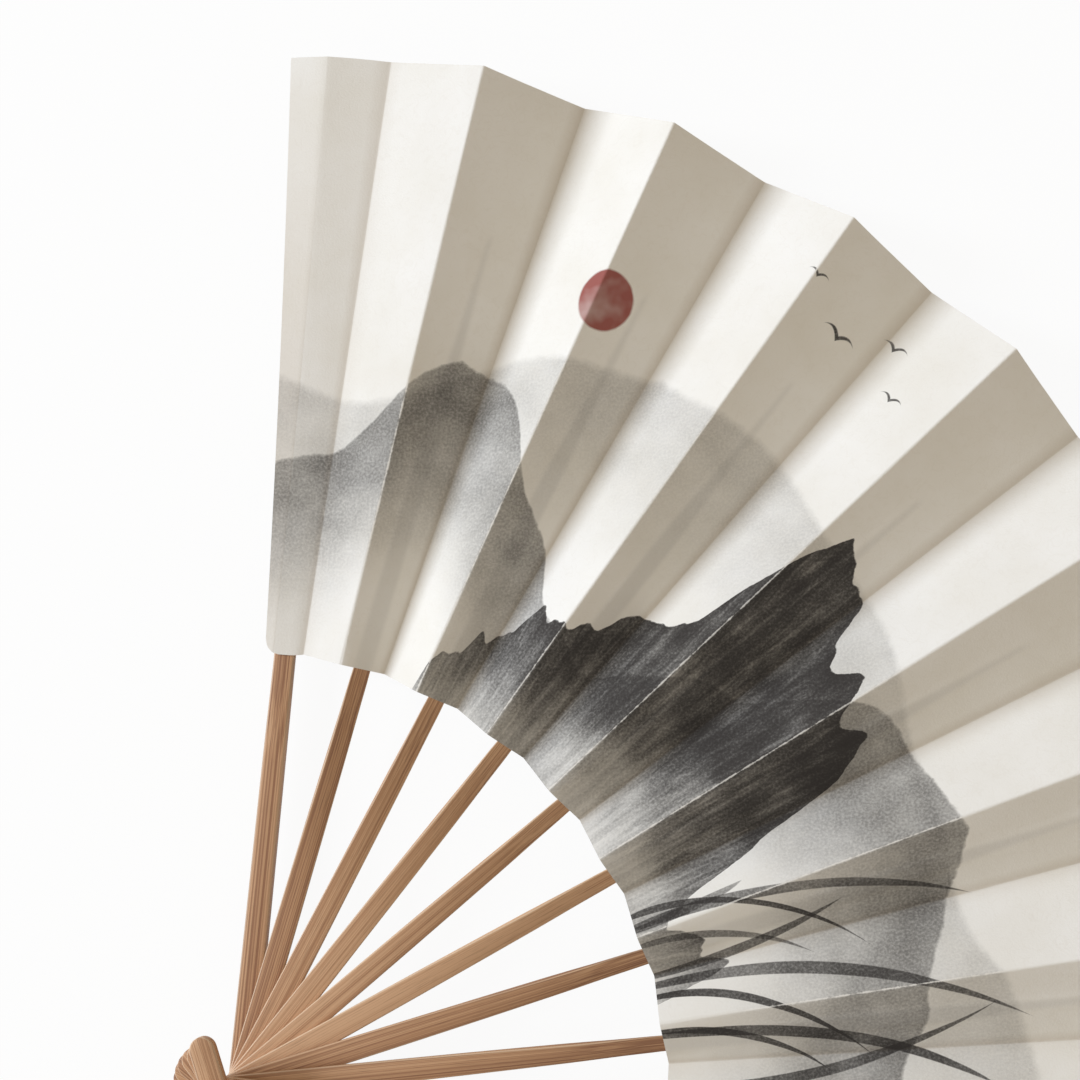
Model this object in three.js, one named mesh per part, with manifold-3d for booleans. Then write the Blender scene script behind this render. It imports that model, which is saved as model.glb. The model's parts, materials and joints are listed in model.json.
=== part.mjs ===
// Folding fan: bamboo ribs turning on one rivet, carrying a pleated paper leaf.
// Millimetres, +Z up. The open fan lies flat, face up, and spreads evenly either side of +Y.
// The rivet turns about Z, and the flat face of its rear head is z = 0.

import * as THREE from 'three';
import { mergeVertices } from 'three/addons/utils/BufferGeometryUtils.js';
import Module from 'manifold-3d';

// Spread
const ribCount = 15;            // both guards included
const openAngle = 156;          // degrees between the guards' centre lines
const pleatTilt = 30;           // degrees that a rib's leaf panel leans when the fan is open

// Leaf, measured from the rivet
const leafOuter = 213;
const leafInner = 86.5;
const plyThick = 0.15;          // the leaf is two plies of paper
const endAngle = 2.65;          // degrees from a guard's centre line to the leaf's free edge
const leafCorner = 3.2;         // rounding of the free edge's inner corner
const creaseGap = 0.1;          // opening between panels along a crease

// Ribs
const ribThick = 1.1;
const ribWidthRivet = 5;
const ribWidthLeaf = 3.8;
const ribTail = 11;             // from the rivet to the rounded end
const ribLeafGap = 0.3;         // from the rib to the slip that continues it

// Slips, the thin upper ends of the ribs, each in a pocket between the two plies
const slipThick = 0.35;
const slipWidthBase = 2.9;
const slipWidthTip = 1.7;
const slipShort = 32;           // from the slip's tip to the leaf's outer edge
const pocketGap = 0.05;
const pocketWall = 0.5;         // paper either side of the pocket that is lifted with it

// Guards, the two thick outer ribs
const guardThick = 2.6;
const guardWidthRivet = 5.1;
const guardWidthTip = 3.2;
const guardShort = 1.2;         // from the guard's tip to the leaf's outer edge
const guardTail = 12;
const seatLead = 0.6;           // the leaf's seat on a guard starts this far below the leaf

// Rivet
const rivetDiameter = 2;
const rivetHeadDiameter = 5.2;
const rearHeadThick = 0.7;
const domeHeight = 1.3;
const washerDiameter = 6.6;
const washerThick = 0.4;

// Clearances
const boreGap = 0.1;            // round the rivet
const runGap = 0.1;             // between faces that slide or are glued

// Worked out from the sizes above
const last = ribCount - 1;
const tilt = THREE.MathUtils.degToRad(pleatTilt);
const stepAngle = THREE.MathUtils.degToRad(openAngle) / last;
const halfPanel = Math.atan(Math.tan(stepAngle / 4) / Math.cos(tilt));
const paperThick = 2 * plyThick;
const pocketThick = slipThick + 2 * pocketGap;
const ridgeThick = pocketThick + paperThick;
const pitch = Math.max(ribThick, ridgeThick + paperThick) + runGap;
const guardBase = rearHeadThick + washerThick + 2 * runGap;
const firstLevel = guardBase + guardThick + runGap + ribThick / 2;
const frontBase = ribLevel(last - 1) + ribThick / 2 + runGap;
const seatDepth = guardBase + guardThick - (ribLevel(0) - paperThick / 2 - runGap);
const slipTip = leafOuter - slipShort;
const ribEnd = leafInner - ribLeafGap;
const boreRadius = rivetDiameter / 2 + boreGap;

// A crease's panels stop short of it by enough for their thickness to clear in the fold
const valleyGap = creaseGap / 2;
const mountainGap = (creaseGap / 2 + paperThick * Math.sin(tilt)) / Math.cos(tilt);
const endCrease = endCreaseAngle();

// Fineness of round outlines, in segments of a quarter turn or of a panel's arc
const roundSegments = 6;
const arcSegments = 2;
const latheSegments = 28;

const colours = { bamboo: 0xa37c5f, slip: 0xb08c6c, paper: 0xf4f0e7, brass: 0xb5935a };

// Middle of rib i above the origin; a guard's level is that of its leaf panel
function ribLevel(i) {
  return firstLevel + (i - 1) * pitch;
}

// Direction of rib i, the rear guard being the furthest round from +X
function ribAzimuth(i) {
  return Math.PI / 2 + (last / 2 - i) * stepAngle;
}

// Angle from a guard's centre line to its panel's crease, at which the first fold panel
// has the same width open and closed
function endCreaseAngle() {
  const half = leafOuter * Math.sin(halfPanel);
  const across = leafOuter * Math.sin(stepAngle) - half * Math.cos(tilt);
  const rise = pitch + half * Math.sin(tilt);
  const square = across ** 2 + rise ** 2 - half ** 2 - pitch ** 2;
  return Math.asin(square / (2 * (across + half)) / leafOuter);
}

function material(colour, roughness, metalness = 0) {
  return new THREE.MeshStandardMaterial({ color: colour, roughness, metalness });
}

const wasm = await Module();
wasm.setup();

function toSolid(geometry) {
  const bare = geometry.clone();
  bare.deleteAttribute('normal');
  bare.deleteAttribute('uv');
  const merged = mergeVertices(bare, 1e-4);
  return new wasm.Manifold(new wasm.Mesh({
    numProp: 3,
    vertProperties: new Float32Array(merged.attributes.position.array),
    triVerts: new Uint32Array(merged.index.array),
  }));
}

function toGeometry(solid) {
  const mesh = solid.getMesh();
  const geometry = new THREE.BufferGeometry();
  geometry.setAttribute('position', new THREE.BufferAttribute(mesh.vertProperties, 3));
  geometry.setIndex(new THREE.BufferAttribute(mesh.triVerts, 1));
  geometry.computeVertexNormals();
  return geometry;
}

// An outline with thickness, from z = base upwards
function slab(shape, base, thick, curveSegments) {
  const geometry = new THREE.ExtrudeGeometry(shape, { depth: thick, bevelEnabled: false, curveSegments });
  return geometry.translate(0, 0, base);
}

// A straight bar along +X with the rivet at the origin, a rounded tail and a square or rounded far end
function barShape({ start, tail, end, widthStart, widthEnd, roundEnd }) {
  const shape = new THREE.Shape();
  const halfStart = widthStart / 2;
  const halfEnd = widthEnd / 2;
  if (tail === undefined) {
    shape.moveTo(start, -halfStart);
  } else {
    shape.absarc(halfStart - tail, 0, halfStart, Math.PI / 2, -Math.PI / 2, false);
    shape.lineTo(0, -halfStart);
  }
  if (roundEnd) {
    shape.lineTo(end - halfEnd, -halfEnd);
    shape.absarc(end - halfEnd, 0, halfEnd, -Math.PI / 2, Math.PI / 2, false);
  } else {
    shape.lineTo(end, -halfEnd);
    shape.lineTo(end, halfEnd);
  }
  shape.lineTo(start, halfStart);
  return shape;
}

function boredBar(bar) {
  const shape = barShape({ start: 0, ...bar });
  const bore = new THREE.Path();
  bore.absarc(0, 0, boreRadius, 0, 2 * Math.PI, true);
  shape.holes.push(bore);
  return shape;
}

function ribGeometry() {
  const shape = boredBar({ tail: ribTail, end: ribEnd, widthStart: ribWidthRivet, widthEnd: ribWidthLeaf });
  return slab(shape, -ribThick / 2, ribThick, roundSegments);
}

// A guard is full thickness at the rivet and thinner along the leaf, which is glued to its inner face
function guardGeometry(base, seatBase) {
  const tip = leafOuter - guardShort;
  const shape = boredBar({
    tail: guardTail, end: tip, widthStart: guardWidthRivet, widthEnd: guardWidthTip, roundEnd: true,
  });
  const seatStart = leafInner - seatLead;
  const seat = new THREE.BoxGeometry(leafOuter, 2 * guardWidthRivet, seatDepth);
  seat.translate(seatStart + leafOuter / 2, 0, seatBase + seatDepth / 2);
  return toGeometry(toSolid(slab(shape, base, guardThick, roundSegments)).subtract(toSolid(seat)));
}

// The slip's outline, widened all round by grow and started back from the leaf's edge by lead
function slipShape(grow, lead) {
  const slope = (slipWidthTip - slipWidthBase) / (slipTip - leafInner);
  const start = leafInner - lead;
  return barShape({
    start,
    end: slipTip + grow,
    widthStart: slipWidthBase - slope * lead + 2 * grow,
    widthEnd: slipWidthTip + 2 * grow,
    roundEnd: true,
  });
}

function slipGeometry() {
  return slab(slipShape(0, 0), -slipThick / 2, slipThick, roundSegments);
}

// A point of a leaf panel's plane, the rivet at the origin
function polar(radius, angle) {
  return new THREE.Vector2(radius * Math.cos(angle), radius * Math.sin(angle));
}

// Angles at which a parallel to an edge starts and ends, a gap away from it towards the given side
function insetEdge({ outer, inner, gap = 0, corner = 0 }, side) {
  return {
    outer: outer + side * Math.asin(gap / leafOuter),
    inner: inner + side * Math.asin(gap / leafInner),
    turn: corner / leafInner,
    corner,
  };
}

// A panel between two edges, each given by its angles at the outer and inner radius, the gap left
// along it, and the rounding of its inner corner. High is the edge at the larger angle.
function panelShape(highEdge, lowEdge) {
  const high = insetEdge(highEdge, -1);
  const low = insetEdge(lowEdge, 1);
  const highStart = polar(leafInner + high.corner, high.inner);
  const highCorner = polar(leafInner, high.inner);
  const highEnd = polar(leafInner, high.inner - high.turn);
  const lowCorner = polar(leafInner, low.inner);
  const lowEnd = polar(leafInner + low.corner, low.inner);
  const shape = new THREE.Shape();
  shape.absarc(0, 0, leafOuter, low.outer, high.outer, false);
  if (high.corner > 0) {
    shape.lineTo(highStart.x, highStart.y);
    shape.quadraticCurveTo(highCorner.x, highCorner.y, highEnd.x, highEnd.y);
  }
  shape.absarc(0, 0, leafInner, high.inner - high.turn, low.inner + low.turn, true);
  if (low.corner > 0) {
    shape.quadraticCurveTo(lowCorner.x, lowCorner.y, lowEnd.x, lowEnd.y);
  }
  return shape;
}

// Angle of the mountain crease at the high edge of panel i, and of the valley crease at its low edge
function mountainAngle(i) {
  return i === last ? endCrease : halfPanel;
}

function valleyAngle(i) {
  return i === 0 ? -endCrease : -halfPanel;
}

// The panel glued to a guard, whose outer edge is free and rounded at its inner corner
function endPanelGeometry(i) {
  const free = THREE.MathUtils.degToRad(endAngle);
  const high = i === 0
    ? { outer: free, inner: free, corner: leafCorner }
    : { outer: endCrease, inner: endCrease, gap: mountainGap };
  const low = i === 0
    ? { outer: -endCrease, inner: -endCrease, gap: valleyGap }
    : { outer: -free, inner: -free, corner: leafCorner };
  return slab(panelShape(high, low), -paperThick / 2, paperThick, arcSegments);
}

// The panel that a slip runs up, lifted either side of the slip into a pocket open at the leaf's inner edge
function ribPanelGeometry() {
  const high = { outer: halfPanel, inner: halfPanel, gap: mountainGap };
  const low = { outer: -halfPanel, inner: -halfPanel, gap: valleyGap };
  const plate = slab(panelShape(high, low), -paperThick / 2, paperThick, arcSegments);
  const ridge = slab(slipShape(pocketGap + pocketWall, 0), -ridgeThick / 2, ridgeThick, roundSegments);
  const pocket = slab(slipShape(pocketGap, pocketWall), -pocketThick / 2, pocketThick, roundSegments);
  return toGeometry(toSolid(plate).add(toSolid(ridge)).subtract(toSolid(pocket)));
}

// Frame of leaf panel i: X along its rib, Z out of the leaf's face
function panelFrame(i) {
  const lean = i === 0 || i === last ? 0 : tilt;
  return new THREE.Matrix4()
    .makeRotationZ(ribAzimuth(i))
    .setPosition(0, 0, ribLevel(i))
    .multiply(new THREE.Matrix4().makeRotationX(lean));
}

// A point of panel i's face
function facePoint(i, radius, angle) {
  const flat = polar(radius, angle);
  return new THREE.Vector3(flat.x, flat.y, paperThick / 2).applyMatrix4(panelFrame(i));
}

// Frame of the fold panel from the valley crease of panel i up to the mountain crease of panel i + 1:
// X along the valley crease, Z out of its face
function foldFrame(i) {
  const origin = facePoint(i, 0, 0);
  const along = facePoint(i, 1, valleyAngle(i)).sub(origin);
  const top = facePoint(i + 1, leafOuter, mountainAngle(i + 1)).sub(origin);
  const side = along.clone().multiplyScalar(top.dot(along)).sub(top).normalize();
  const face = along.clone().cross(side);
  return new THREE.Matrix4().makeBasis(along, side, face).setPosition(origin);
}

// Angle in the fold panel's plane of the point straight above or below the next panel's mountain crease
function foldAngle(i, radius) {
  const frame = foldFrame(i);
  const point = facePoint(i + 1, radius, mountainAngle(i + 1));
  const face = new THREE.Vector3().setFromMatrixColumn(frame, 2);
  const origin = new THREE.Vector3().setFromMatrixPosition(frame);
  point.z -= point.clone().sub(origin).dot(face) / face.z;
  const local = point.applyMatrix4(frame.clone().invert());
  return Math.atan2(local.y, local.x);
}

function foldPanelGeometry(i) {
  const high = { outer: 0, inner: 0, gap: valleyGap };
  const low = { outer: foldAngle(i, leafOuter), inner: foldAngle(i, leafInner), gap: mountainGap };
  return slab(panelShape(high, low), -paperThick, paperThick, arcSegments);
}

// One pin with a flat rear head and a domed front head
function rivetGeometry(topWasher) {
  const shaft = rivetDiameter / 2;
  const head = rivetHeadDiameter / 2;
  const dome = topWasher + runGap;
  const curve = new THREE.EllipseCurve(0, dome, head, domeHeight, 0, Math.PI / 2);
  const profile = [
    new THREE.Vector2(0, 0),
    new THREE.Vector2(head, 0),
    new THREE.Vector2(head, rearHeadThick),
    new THREE.Vector2(shaft, rearHeadThick),
    new THREE.Vector2(shaft, dome),
    ...curve.getPoints(roundSegments).slice(0, -1),
    new THREE.Vector2(0, dome + domeHeight),
  ];
  return new THREE.LatheGeometry(profile, latheSegments).rotateX(Math.PI / 2);
}

function washerGeometry(base) {
  const outer = washerDiameter / 2;
  const profile = [
    new THREE.Vector2(boreRadius, base),
    new THREE.Vector2(outer, base),
    new THREE.Vector2(outer, base + washerThick),
    new THREE.Vector2(boreRadius, base + washerThick),
    new THREE.Vector2(boreRadius, base),
  ];
  return new THREE.LatheGeometry(profile, latheSegments).rotateX(Math.PI / 2);
}

const fan = new THREE.Group();

function addMesh(parent, name, geometry, finish) {
  const mesh = new THREE.Mesh(geometry, finish);
  mesh.name = name;
  parent.add(mesh);
}

function addGroup(matrix) {
  const group = new THREE.Group();
  matrix.decompose(group.position, group.quaternion, group.scale);
  fan.add(group);
  return group;
}

const number = (i) => String(i).padStart(2, '0');
const bambooFinish = () => material(colours.bamboo, 0.6);
const paperFinish = () => material(colours.paper, 0.9);
const brassFinish = () => material(colours.brass, 0.35, 1);

// Guards, turned to their ends of the spread; their heights are already in the fan's own frame
const rearSeat = guardBase + guardThick - seatDepth;
for (const [name, i, base, seat] of [
  ['rear_guard', 0, guardBase, rearSeat],
  ['front_guard', last, frontBase, frontBase],
]) {
  const turned = addGroup(new THREE.Matrix4().makeRotationZ(ribAzimuth(i)));
  addMesh(turned, name, guardGeometry(base, seat), bambooFinish());
}

// Ribs and their slips
for (let i = 1; i < last; i += 1) {
  const level = addGroup(new THREE.Matrix4().makeRotationZ(ribAzimuth(i)).setPosition(0, 0, ribLevel(i)));
  addMesh(level, `rib_${number(i)}`, ribGeometry(), bambooFinish());
  addMesh(addGroup(panelFrame(i)), `slip_${number(i)}`, slipGeometry(), material(colours.slip, 0.7));
}

// Leaf: a panel on every rib and a fold panel from each to the next
for (let i = 0; i <= last; i += 1) {
  const geometry = i === 0 || i === last ? endPanelGeometry(i) : ribPanelGeometry();
  addMesh(addGroup(panelFrame(i)), `leaf_panel_${number(i)}`, geometry, paperFinish());
}
for (let i = 0; i < last; i += 1) {
  addMesh(addGroup(foldFrame(i)), `leaf_fold_${number(i)}`, foldPanelGeometry(i), paperFinish());
}

// Rivet and washers
const rearWasher = rearHeadThick + runGap;
const frontWasher = frontBase + guardThick + runGap;
addMesh(fan, 'rear_washer', washerGeometry(rearWasher), brassFinish());
addMesh(fan, 'front_washer', washerGeometry(frontWasher), brassFinish());
addMesh(fan, 'rivet', rivetGeometry(frontWasher + washerThick), brassFinish());

export default fan;
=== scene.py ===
import json
import math

import bpy
import numpy as np
from mathutils import Matrix, Vector


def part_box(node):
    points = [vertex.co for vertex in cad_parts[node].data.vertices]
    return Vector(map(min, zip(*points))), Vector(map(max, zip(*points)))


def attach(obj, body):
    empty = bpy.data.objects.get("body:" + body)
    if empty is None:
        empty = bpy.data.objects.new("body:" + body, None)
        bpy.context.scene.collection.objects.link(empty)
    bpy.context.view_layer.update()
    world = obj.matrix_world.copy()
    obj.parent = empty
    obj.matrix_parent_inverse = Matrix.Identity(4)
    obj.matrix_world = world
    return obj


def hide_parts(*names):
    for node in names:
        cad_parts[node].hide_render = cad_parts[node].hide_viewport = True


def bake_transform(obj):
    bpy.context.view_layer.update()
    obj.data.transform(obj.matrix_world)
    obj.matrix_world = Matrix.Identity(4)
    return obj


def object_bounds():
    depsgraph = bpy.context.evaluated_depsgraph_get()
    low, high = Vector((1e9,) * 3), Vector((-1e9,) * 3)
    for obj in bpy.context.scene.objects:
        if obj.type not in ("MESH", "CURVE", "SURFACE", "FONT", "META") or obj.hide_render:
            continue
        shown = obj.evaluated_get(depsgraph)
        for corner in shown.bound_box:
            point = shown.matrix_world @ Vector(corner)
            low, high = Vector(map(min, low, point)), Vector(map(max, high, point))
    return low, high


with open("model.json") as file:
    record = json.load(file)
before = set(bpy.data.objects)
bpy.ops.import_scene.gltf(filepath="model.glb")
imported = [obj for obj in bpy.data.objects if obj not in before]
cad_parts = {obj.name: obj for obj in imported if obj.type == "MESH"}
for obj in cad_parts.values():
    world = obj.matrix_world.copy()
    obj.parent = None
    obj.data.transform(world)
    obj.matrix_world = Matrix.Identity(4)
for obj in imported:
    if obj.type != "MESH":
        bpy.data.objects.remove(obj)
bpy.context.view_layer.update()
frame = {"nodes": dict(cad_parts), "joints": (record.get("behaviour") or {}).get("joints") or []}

scene = bpy.context.scene
scene.view_settings.view_transform = "Standard"
mm = 0.001
print("Frame loaded:", len(frame["nodes"]), "nodes")

# Layout of the fan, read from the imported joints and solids
joints = {joint["name"]: joint for joint in frame["joints"]}
lastRib = sum(name.startswith("leaf_panel_") for name in frame["nodes"]) - 1
upward = np.array([0.0, 0.0, 1.0])


def numbered(word, i):
    return f"{word}_{i:02d}"


def jointLine(name):
    return np.array(joints[name]["pos_m"]), np.array(joints[name]["axis"])


def valleyLine(i):
    return jointLine(numbered("fold", i) + "_crease")


def nodePoints(name):
    return np.array([vertex.co for vertex in frame["nodes"][name].data.vertices])


def unit(vector):
    return vector / np.linalg.norm(vector)


def angleBetween(a, b):
    return math.acos(np.clip(np.dot(a, b), -1, 1))


def mixed(here, there, share):
    return here + (there - here) * share


def smoothStep(value):
    value = np.clip(value, 0, 1)
    return value * value * (3 - 2 * value)


firstPivot, firstAxis = jointLine("panel_01_twist")
finalPivot = jointLine(numbered("panel", lastRib - 1) + "_twist")[0]
stepAngle = math.radians(joints["fan_fold"]["range_deg"][1]) / lastRib
ribPitch = (finalPivot[2] - firstPivot[2]) / (lastRib - 2)
halfPanel = angleBetween(firstAxis, valleyLine(1)[1])


def ribLevel(i):
    return firstPivot[2] + (i - 1) * ribPitch


def ribDirection(i):
    turn = math.atan2(firstAxis[1], firstAxis[0]) + (1 - i) * stepAngle
    return np.array([math.cos(turn), math.sin(turn), 0.0])


# Axes of leaf panel i: along its rib, across towards the mountain crease, and out of its face
def panelAxes(i):
    along = ribDirection(i)
    face = upward if i in (0, lastRib) else unit(np.cross(valleyLine(i)[1], along))
    return along, np.cross(face, along), face


tipZone = 0.95  # a bar's narrow width is measured past this share of its reach


# How far a bar reaches behind and before the rivet, and half its width at its widest and at its tip
def barSize(name, level, along, across):
    points = nodePoints(name) - upward * level
    forward = points @ along
    half = np.abs(points @ across)
    tip = forward.max()
    nearTip = forward > tipZone * tip
    return {"tail": -forward.min(), "tip": tip, "wide": half.max(), "narrow": half[nearTip].max()}


guardAlong, guardAcross, _ = panelAxes(0)
guardSize = barSize("rear_guard", ribLevel(0), guardAlong, guardAcross)
ribSize = barSize("rib_01", ribLevel(1), ribDirection(1), np.cross(upward, ribDirection(1)))
slipSize = barSize("slip_01", ribLevel(1), *panelAxes(1)[:2])

endCrease = angleBetween(guardAlong, valleyLine(0)[1])
paperHalf = valleyLine(0)[0][2] - ribLevel(0)  # the joint lies on the paper's face
endPoints = nodePoints("leaf_panel_00")
endRadii = np.hypot(endPoints[:, 0], endPoints[:, 1])
leafInner, leafOuter = endRadii.min(), endRadii.max()
leafMiddle = (leafInner + leafOuter) / 2
endAngle = np.arctan2(endPoints @ guardAcross, endPoints @ guardAlong).max()


def mountainAngle(i):
    return endCrease if i == lastRib else halfPanel


def valleyAngle(i):
    return endCrease if i == 0 else halfPanel


# A point of the true mountain crease of panel i, on its face
def mountainPoint(i, radius):
    along, across, face = panelAxes(i)
    angle = mountainAngle(i)
    spoke = math.cos(angle) * along + math.sin(angle) * across
    return upward * ribLevel(i) + radius * spoke + face * paperHalf


# Axes of the fold panel after panel i: along the valley, away from the valley, and out of its face
def foldAxes(i):
    pivot, along = valleyLine(i)
    top = mountainPoint(i + 1, leafOuter) - pivot
    away = unit(top - along * (top @ along))
    return along, away, np.cross(away, along)


# How far the mountain crease of panel i stands above the plane of the fold panel before it
def mountainHeight(i, radius):
    face = foldAxes(i - 1)[2]
    return ((mountainPoint(i, radius) - valleyLine(i - 1)[0]) @ face) / face[2]


# Colours and nodes
def linearColour(hexColour):
    parts = [int(hexColour[k:k + 2], 16) / 255 for k in (1, 3, 5)]
    return [c / 12.92 if c <= 0.04045 else ((c + 0.055) / 1.055) ** 2.4 for c in parts] + [1.0]


fromRange, toRange = ("From Min", "From Max"), ("To Min", "To Max")  # levels met, and what they become
mixColours = {"give": 2, "data_type": "RGBA"}


# Adds a node with its settings and links, and gives one of its outputs. A pair of sockets takes a pair
# of values, and a hex colour is made linear.
def addNode(tree, kind, inputs=None, give=0, **settings):
    node = tree.nodes.new("ShaderNode" + kind)
    for name, value in settings.items():
        setattr(node, name, value)
    for sockets, values in (inputs or {}).items():
        pairs = zip(sockets, values) if isinstance(sockets, tuple) else [(sockets, values)]
        for socket, value in pairs:
            if isinstance(value, bpy.types.NodeSocket):
                tree.links.new(value, node.inputs[socket])
            elif isinstance(value, str):
                node.inputs[socket].default_value = linearColour(value)
            else:
                node.inputs[socket].default_value = value
    return node.outputs[give] if node.outputs else node


def newMaterial(name):
    material = bpy.data.materials.new(name)
    material.use_nodes = True
    material.node_tree.nodes.clear()
    return material, material.node_tree


# Washi: a sheet of long mulberry fibres, laid by hand. Matt, warm white, faintly clouded and
# fibrous, with a fine felt-like tooth. The face carries an ink wash, the back is bare.
washi = {
    "colour": "#f4f2ec",
    "cloud": "#ebe7dc",
    "fibre": "#e6e1d6",
    "paintedShade": "#baa88f",      # painted shade in valley creases and on the rear guard's panel
    "shadow": "#b0aeaa",    # a slip between the plies
    "ior": 1.5,
    "roughness": 0.88,
    "cloudSize": 26,        # mm
    "cloudRange": (0.35, 0.75),
    "cloudShare": 0.8,
    "fibreGap": 3.2,        # mm between long fibres
    "fibreLevel": 0.5,      # fibres lie where the noise crosses this level
    "fibreWidth": 0.03,     # share of the gap, drawn wider than real
    "fibreShare": 0.2,
    "tooth": 0.5,           # mm, drawn coarser than real
    "toothDepth": 0.05,     # mm
    "cockle": 8,            # mm, slight swells left by the wet brush
    "cockleDepth": 0.07,    # mm
}


# Bare paper: its colour, painted shade and tooth, the same on both faces
def paperGround(tree):
    sheet = addNode(tree, "Attribute", give="Vector", attribute_name="leafSheet")
    clouds = addNode(tree, "TexNoise", {
        "Vector": sheet, "Scale": 1 / washi["cloudSize"], "Detail": 4, "Roughness": 0.6})
    cloudy = addNode(tree, "MapRange", {
        "Value": clouds, fromRange: washi["cloudRange"], "To Max": washi["cloudShare"]})
    ground = addNode(tree, "Mix", {"Factor": cloudy, 6: washi["colour"], 7: washi["cloud"]}, **mixColours)
    lines = addNode(tree, "TexNoise", {
        "Vector": sheet, "Scale": 1 / washi["fibreGap"], "Detail": 1.5, "Distortion": 1.2})
    offLine = addNode(tree, "Math", {0: lines, 1: washi["fibreLevel"]}, operation="SUBTRACT")
    offLine = addNode(tree, "Math", {0: offLine}, operation="ABSOLUTE")
    fibres = addNode(tree, "MapRange", {
        "Value": offLine, "From Max": washi["fibreWidth"], "To Min": washi["fibreShare"], "To Max": 0})
    toned = addNode(tree, "Mix", {"Factor": fibres, 6: ground, 7: washi["fibre"]}, **mixColours)
    # Painted shade in the valleys and on the rear guard's panel, then the slips' painted shadow
    for tone, colour in (("leafPaintedShade", "paintedShade"), ("leafShadow", "shadow")):
        share = addNode(tree, "Attribute", give="Fac", attribute_name=tone)
        toned = addNode(tree, "Mix", {"Factor": share, 6: toned, 7: washi[colour]}, **mixColours)
    tooth = addNode(tree, "TexNoise", {
        "Vector": sheet, "Scale": 1 / washi["tooth"], "Detail": 3, "Roughness": 0.65})
    cockles = addNode(tree, "TexNoise", {"Vector": sheet, "Scale": 1 / washi["cockle"], "Detail": 1})
    swells = addNode(tree, "Bump", {
        "Height": cockles, "Strength": 1, "Distance": washi["cockleDepth"] * mm})
    relief = addNode(tree, "Bump", {
        "Height": tooth, "Strength": 1, "Distance": washi["toothDepth"] * mm, "Normal": swells})
    return sheet, toned, relief


def paperShader(tree, colour, relief):
    shader = addNode(tree, "BsdfPrincipled", {
        "Base Color": colour, "Normal": relief, "IOR": washi["ior"], "Roughness": washi["roughness"]})
    addNode(tree, "OutputMaterial", {"Surface": shader})


def makeWashiBack():
    material, tree = newMaterial("washiPaper")
    _, colour, relief = paperGround(tree)
    paperShader(tree, colour, relief)
    return material


# Ink wash on the washi: soot ink laid with a wet brush. It dries with a darker rim, settles in the
# paper's tooth as light and dark grains, and rubs off along the mountain creases.
# Places are mm round the leaf at its middle radius and mm out from its inner edge. A range is the two
# levels of a noise between which a tone runs.
inkWash = {
    "ink": "#292420",
    "skylineRange": (0.3, 0.7),
    "grain": 0.55,          # mm, drawn coarser than real
    "grainRange": (0.35, 0.68),
    "grainTone": (1.2, 0.66),
    "pool": 11,             # mm, patches where the wash dried darker
    "poolRange": (0.3, 0.7),
    "poolTone": (0.62, 1.3),
    "fray": 2.6,            # mm, uneven edge of a stroke
    "frayDepth": 0.8,       # mm
    "rim": 1.1,             # mm of darker rim
    "rock": (2.4, 17),      # mm wide and tall, dry strokes down a rock face
    "rockRange": (0.3, 0.65),
    "rockTone": (0.5, 1.4),
    "wearWidth": 0.24,      # mm of a mountain crease rubbed bare
    "wearLength": 2.2,      # mm
    "wearRange": (0.36, 0.58),
    "wearSoft": 0.1,        # mm
    "wearLeast": 0.12,      # share of ink left on a rubbed crease
}
inkHills = [
    {"seed": 310, "level": (46, 70), "span": 96, "edge": 2.2, "mist": 44, "depth": 0.3,
     "rim": 0.12, "crags": 1, "rocky": False,
     "peaks": [(84, 150, 22), (236, 150, 20), (392, 150, 24)]},
    {"seed": 905, "level": (18, 38), "span": 70, "edge": 1.0, "mist": 50, "depth": 0.95,
     "rim": 0.25, "crags": 2, "rocky": False,
     "peaks": [(40, 120, 26), (204, 130, 34), (274, 110, 22), (424, 130, 36)]},
    {"seed": 133, "level": (-34, 4), "span": 46, "edge": 0.5, "mist": 130, "depth": 3.2,
     "rim": 0.5, "crags": 4, "rocky": True,
     "peaks": [(138, 116, 96), (176, 46, 18), (332, 116, 92), (370, 46, 18), (484, 90, 60)]},
]  # a peak has its place round the leaf, half width and height
peakCurve = 1.9             # above 1 a peak's slopes are hollow
footMist = {"height": 34, "least": 0.22}  # mm out from the inner edge, and the share of ink left there
inkReeds = [
    {"seed": 20, "gap": 21, "lean": 34, "tall": 84, "short": 48, "width": 4.4},
    {"seed": 61, "gap": 27, "lean": -24, "tall": 72, "short": 38, "width": 3.8},
    {"seed": 87, "gap": 17, "lean": 62, "tall": 62, "short": 30, "width": 3.4},
]
reedBed = {"from": 182, "to": 286, "taper": 30, "least": 0.001}  # a reed's height never quite goes to 0
reedBrush = {"curve": 1.9, "foot": 0.3, "soft": 0.25, "depth": (0.8, 3.2)}
inkBirds = [(108, 106, 4.6), (117, 112, 3.8), (123, 103, 3.3), (99, 113, 3.0)]  # place and half span
birdBrush = {"lift": 1.0, "droop": 1.12, "width": 0.15, "soft": 0.06, "depth": 2.4}
redSun = {"colour": "#9c5a52", "place": (66, 88), "radius": 6.5, "soft": 0.5, "fray": 0.2}


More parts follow.
